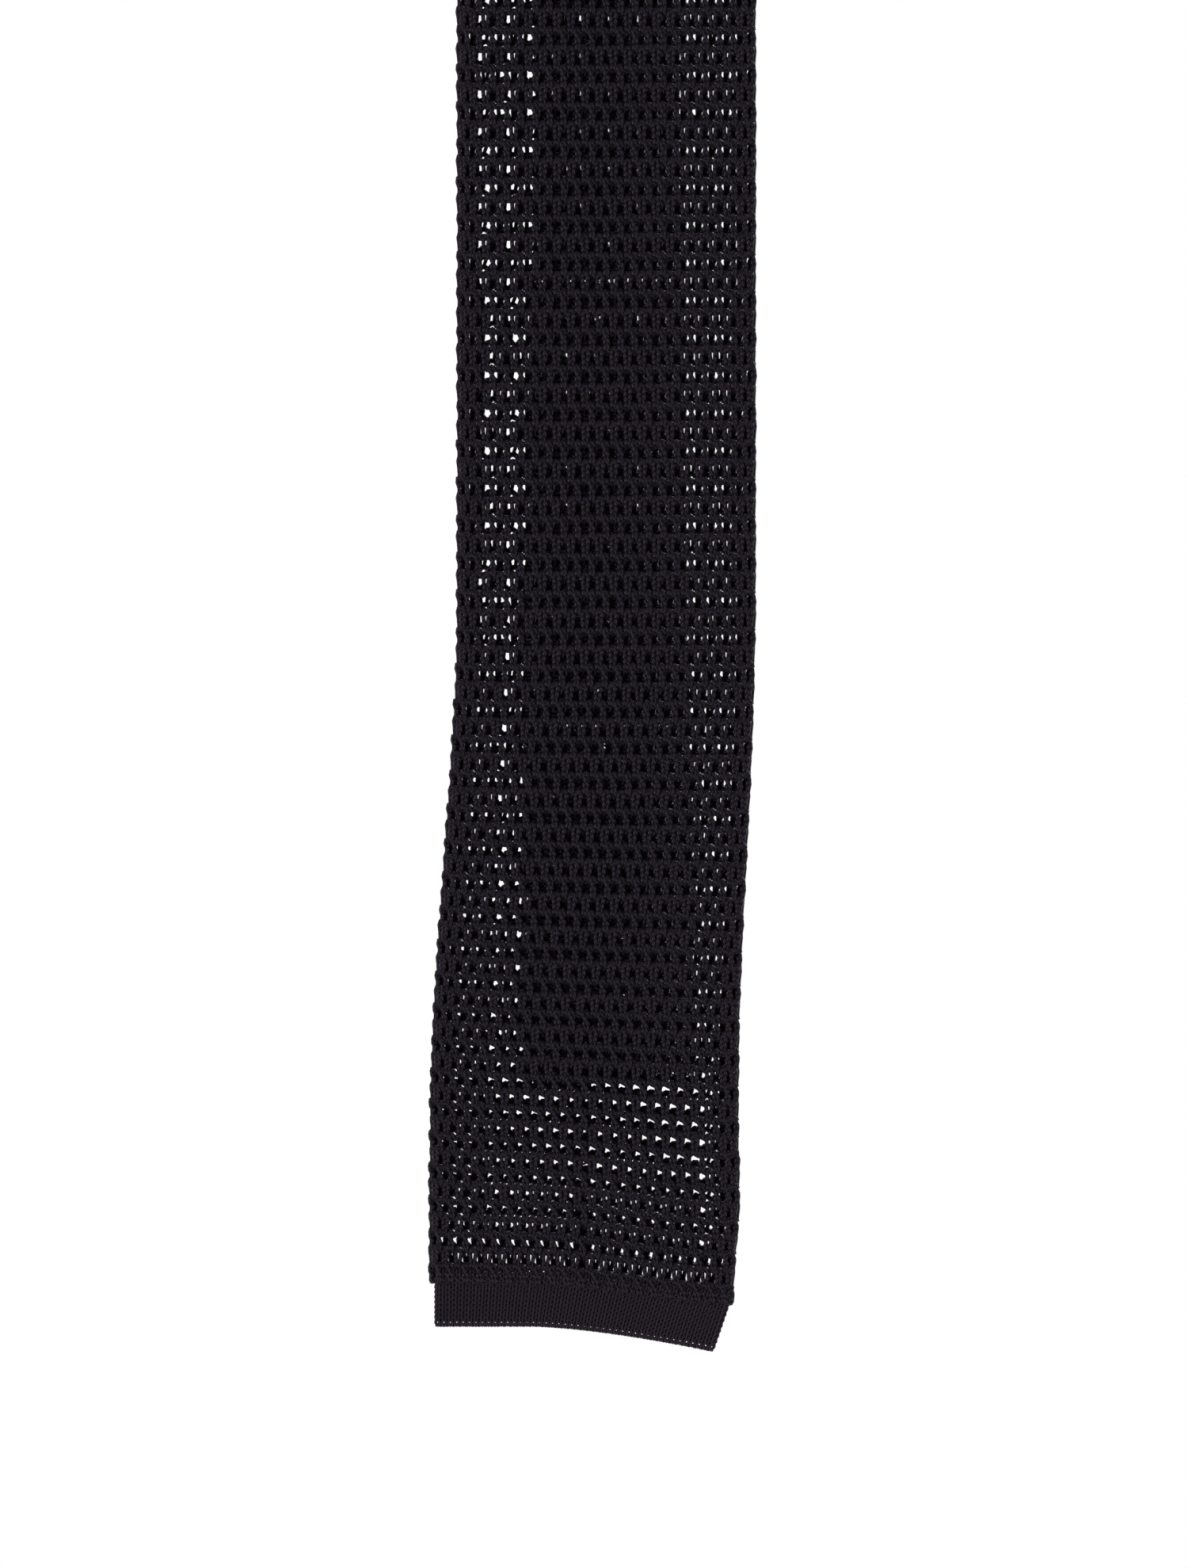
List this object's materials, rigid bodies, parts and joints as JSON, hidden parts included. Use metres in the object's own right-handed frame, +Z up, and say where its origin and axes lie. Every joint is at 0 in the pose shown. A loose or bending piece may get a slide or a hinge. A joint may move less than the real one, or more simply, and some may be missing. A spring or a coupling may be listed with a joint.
{
  "type": "necktie",
  "caption": "Square-ended knit necktie folded over a bar, wide blade in front and narrow tail behind, with hinge lines where the cloth swings, folds and curls.",
  "frame": {"origin": "on the axis of the bar that the tie hangs over, at the middle of the neck's width", "axes": "+Z up, +X along the bar to the right seen from the blade's front, -Y the side that the blade's face looks to"},
  "size_m": [0.0629, 0.0184, 0.7597],
  "materials": {
    "silk_knit": "open mesh knit in glossy twisted silk",
    "silk_welt": "fine plain knit welt in the same silk",
    "silk_thread": "twisted silk sewing thread",
    "keeper_braid": "narrow grosgrain ribbon",
    "label_satin": "blank woven satin",
    "tag_satin": "blank white satin tape",
    "stay_tape": "plain cotton twill tape"
  },
  "bodies": {
    "neck": {"neck_knit": "silk_knit", "neck_stay_tape": "stay_tape", "neck_join_seam": "silk_thread", "neck_back_seam": "silk_thread"},
    "blade_upper": {"blade_upper_knit": "silk_knit", "blade_upper_seam": "silk_thread"},
    "blade_lower": {"blade_lower_knit": "silk_knit", "blade_lower_seam": "silk_thread", "keeper_loop": "keeper_braid", "keeper_tacks": "silk_thread", "blank_label": "label_satin", "label_stitches": "silk_thread", "care_tag_tack": "silk_thread"},
    "blade_tip": {"blade_tip_knit": "silk_knit", "blade_tip_seam": "silk_thread", "blade_hem": "silk_welt", "blade_hem_linking": "silk_thread"},
    "care_tag": {"care_tag": "tag_satin"},
    "tail_upper": {"tail_upper_knit": "silk_knit", "tail_upper_seam": "silk_thread"},
    "tail_lower": {"tail_lower_knit": "silk_knit", "tail_lower_seam": "silk_thread", "tail_hem": "silk_welt", "tail_hem_linking": "silk_thread"}
  },
  "joints": [
    {"name": "blade_swing", "type": "hinge", "parent": "neck", "child": "blade_upper", "pos_m": [0, -0.0095, -0.06], "axis": [-1, 0, 0], "range_deg": [0, 60]},
    {"name": "blade_fold", "type": "hinge", "parent": "blade_upper", "child": "blade_lower", "pos_m": [0, -0.0095, -0.3], "axis": [-1, 0, 0], "range_deg": [0, 150]},
    {"name": "blade_curl", "type": "hinge", "parent": "blade_lower", "child": "blade_tip", "pos_m": [0, -0.0095, -0.55], "axis": [-1, 0, 0], "range_deg": [0, 60]},
    {"name": "care_tag_flip", "type": "hinge", "parent": "blade_lower", "child": "care_tag", "pos_m": [0.013, -0.0054, -0.454], "axis": [1, 0, 0], "range_deg": [0, 20]},
    {"name": "tail_swing", "type": "hinge", "parent": "neck", "child": "tail_upper", "pos_m": [0, 0.0095, -0.06], "axis": [1, 0, 0], "range_deg": [0, 60]},
    {"name": "tail_fold", "type": "hinge", "parent": "tail_upper", "child": "tail_lower", "pos_m": [0, 0.0095, -0.38], "axis": [1, 0, 0], "range_deg": [0, 150]}
  ]
}
